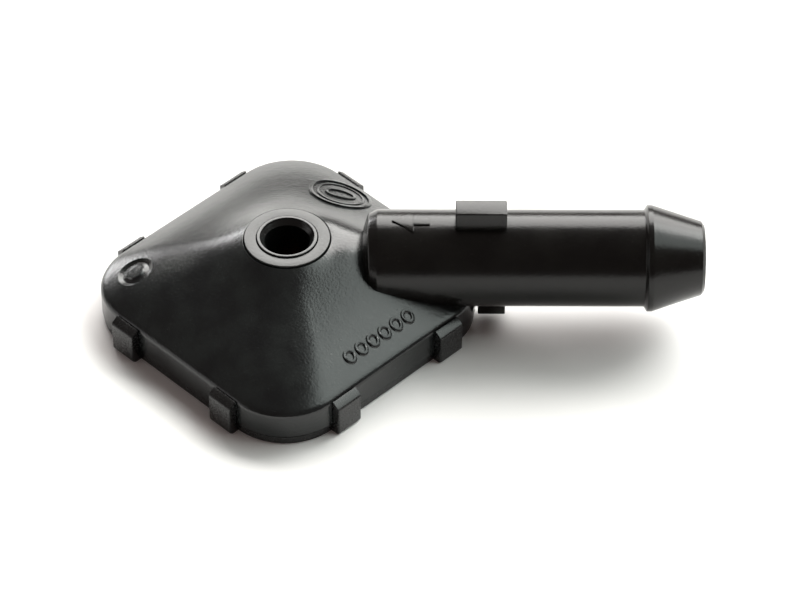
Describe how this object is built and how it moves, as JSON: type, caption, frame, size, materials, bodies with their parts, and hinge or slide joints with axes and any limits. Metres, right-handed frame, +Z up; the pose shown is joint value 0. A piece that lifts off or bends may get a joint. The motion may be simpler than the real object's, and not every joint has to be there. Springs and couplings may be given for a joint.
{
  "type": "drip emitter",
  "caption": "Square pressure-compensating drip emitter: snap-together domed body, side inlet hose barb with stop blocks, open outlet port on top.",
  "frame": {"origin": "middle of the body's underside", "axes": "+X along the inlet tube to its barb tip, +Z up through the outlet; the square body's corners point along X and Y"},
  "size_m": [0.0498, 0.031, 0.0119],
  "materials": {
    "cover_black": "satin moulded",
    "base_black": "satin moulded",
    "outlet_black": "smooth moulded",
    "collar_black": "satin moulded",
    "nitrile": "matt",
    "silicone": "satin",
    "natural_acetal": "satin",
    "gasket_grey": "matt",
    "strainer_nylon": "satin",
    "strainer_mesh": "woven nylon"
  },
  "bodies": {
    "housing": {"cover": "cover_black", "base": "base_black", "outlet_tube": "outlet_black", "gland_collar": "collar_black", "outlet_o_ring": "nitrile", "labyrinth_plate": "natural_acetal", "rim_gasket": "gasket_grey", "strainer_frame": "strainer_nylon", "strainer_mesh": "strainer_mesh"},
    "diaphragm": {"diaphragm": "silicone"}
  },
  "joints": [
    {"name": "diaphragm_lift", "type": "slide", "parent": "housing", "child": "diaphragm", "axis": [0, 0, 1], "range_m": [0, 0.0003]}
  ]
}
